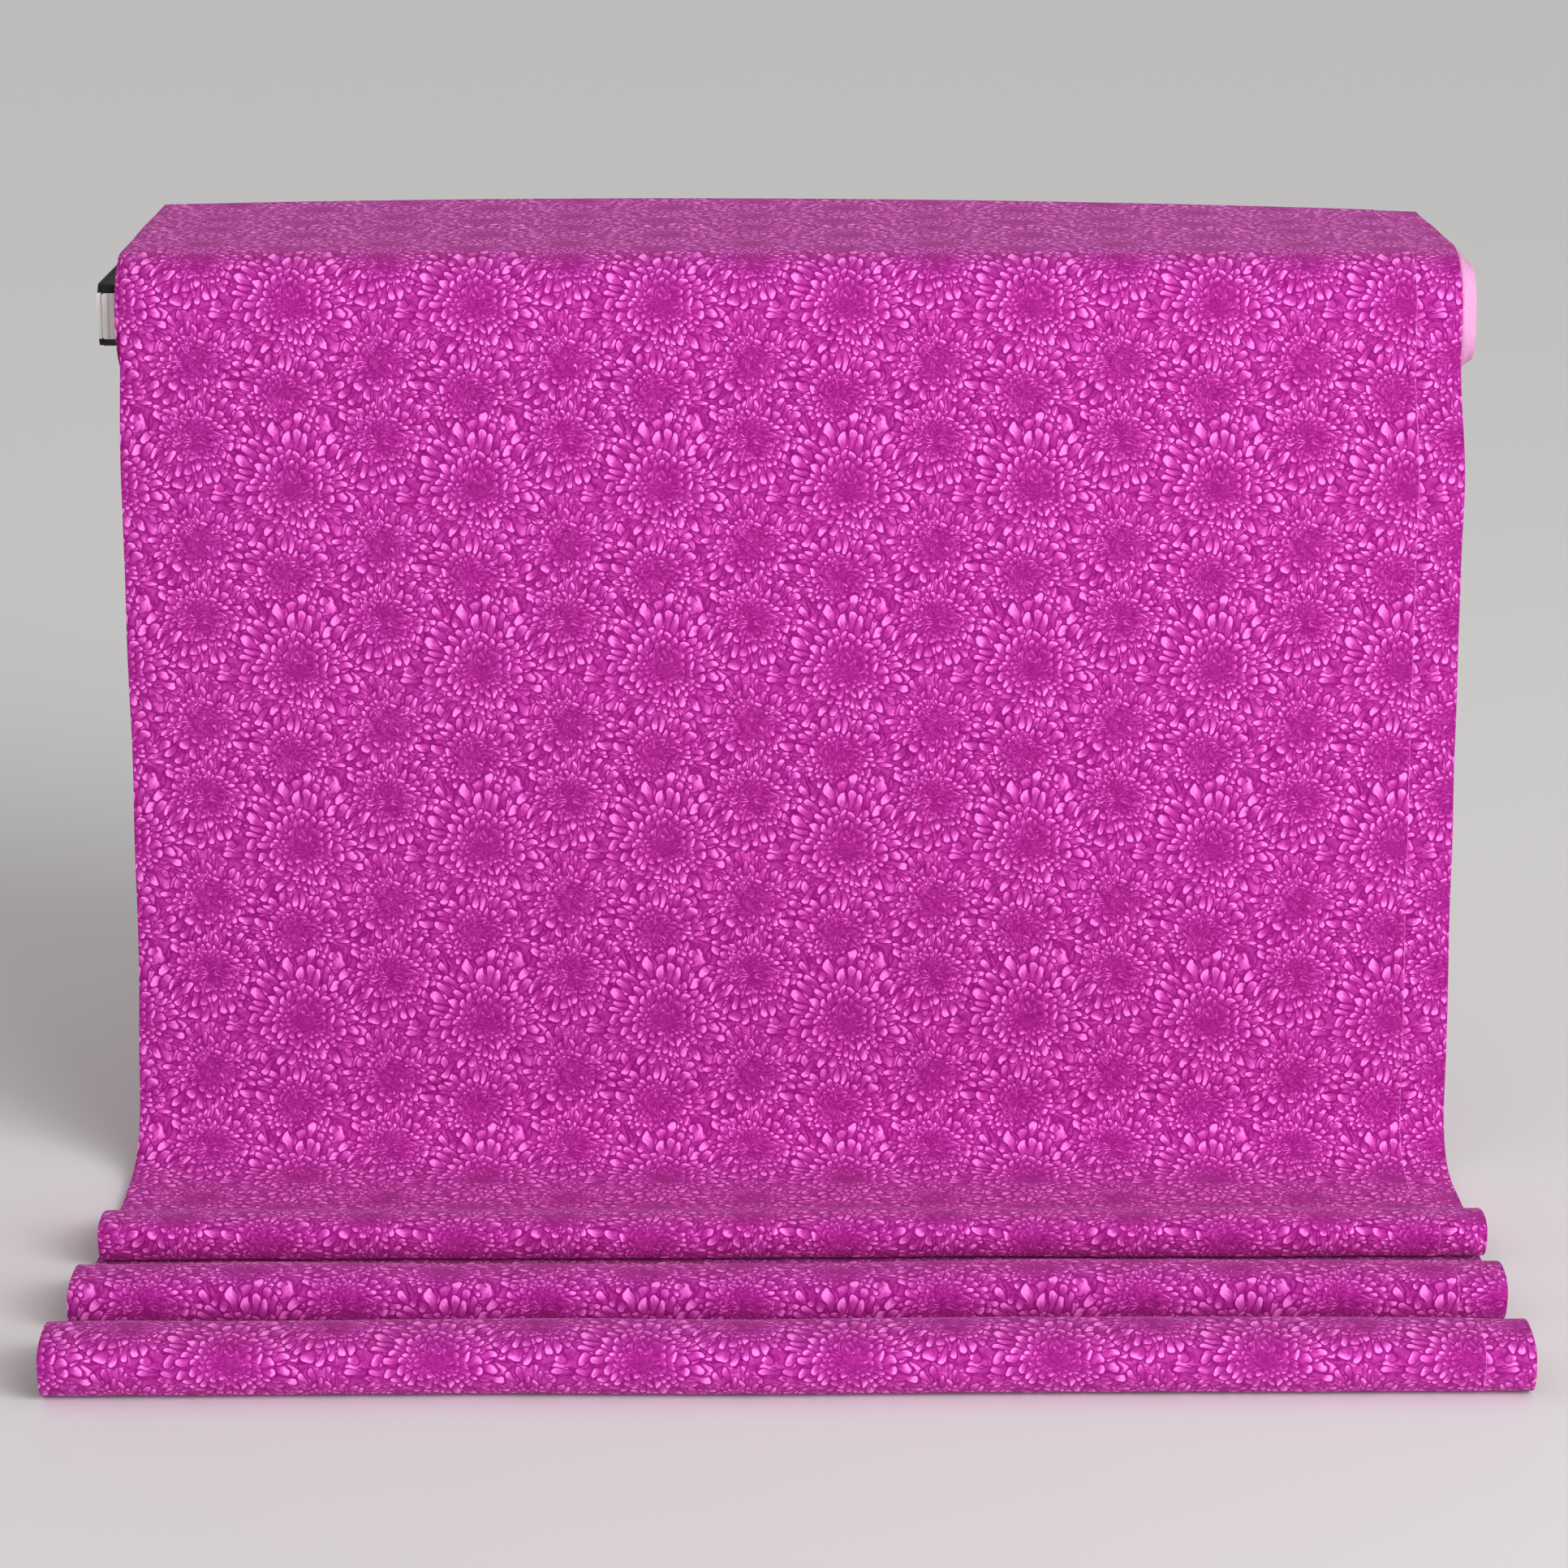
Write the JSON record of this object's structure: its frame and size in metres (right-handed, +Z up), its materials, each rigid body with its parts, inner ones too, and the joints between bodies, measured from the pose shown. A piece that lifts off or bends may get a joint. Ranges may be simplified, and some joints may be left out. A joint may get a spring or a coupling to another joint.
{
  "type": "fabric bolt",
  "caption": "Flat bolt of doubled printed quilting cotton on a paperboard core, its last turn hanging over the front and lying in folds below.",
  "frame": {"origin": "centre of the flat underside of the wound bolt, where it rests on a shelf or table", "axes": "+X along the bolt, +Y to its back, +Z up; the cloth hangs at -Y"},
  "size_m": [0.5743, 0.49, 0.392],
  "materials": {
    "printed_cotton": "matte",
    "wound_cotton": "matte",
    "black_board": "matte",
    "grey_board": "matte",
    "white_paper": "satin",
    "clear_tape": "gloss"
  },
  "bodies": {
    "wound_cloth": {"wound_turns_1": "wound_cotton", "wound_turns_2": "wound_cotton", "wound_turns_3": "wound_cotton", "wound_turns_4": "wound_cotton", "wound_turns_5": "wound_cotton", "last_turn_inner_ply": "printed_cotton", "last_turn_outer_ply": "printed_cotton", "top_cloth_inner_ply": "printed_cotton", "top_cloth_outer_ply": "printed_cotton", "nose_cloth_inner_ply": "printed_cotton", "nose_cloth_outer_ply": "printed_cotton", "hanging_cloth_inner_ply": "printed_cotton", "hanging_cloth_outer_ply": "printed_cotton", "sweep_cloth_inner_ply": "printed_cotton", "sweep_cloth_outer_ply": "printed_cotton", "back_fold_inner_ply": "printed_cotton", "back_fold_outer_ply": "printed_cotton", "middle_fold_inner_ply": "printed_cotton", "middle_fold_outer_ply": "printed_cotton", "front_fold_inner_ply": "printed_cotton", "front_fold_outer_ply": "printed_cotton"},
    "board": {"board_wrap": "black_board", "board_spacer": "grey_board", "start_tape": "clear_tape", "left_edge_label": "white_paper", "right_edge_label": "white_paper"},
    "left_flap": {"left_end_flap": "black_board", "left_end_label": "white_paper"},
    "right_flap": {"right_end_flap": "black_board", "right_end_label": "white_paper"}
  },
  "joints": [
    {"name": "board_slide", "type": "slide", "parent": "wound_cloth", "child": "board", "axis": [-1, 0, 0], "range_m": [0, 0.4]},
    {"name": "left_flap_hinge", "type": "hinge", "parent": "board", "child": "left_flap", "pos_m": [-0.2888, 0, 0.0385], "axis": [0, 1, 0], "range_deg": [0, 90]},
    {"name": "right_flap_hinge", "type": "hinge", "parent": "board", "child": "right_flap", "pos_m": [0.2844, 0, 0.0385], "axis": [0, -1, 0], "range_deg": [0, 90]}
  ]
}
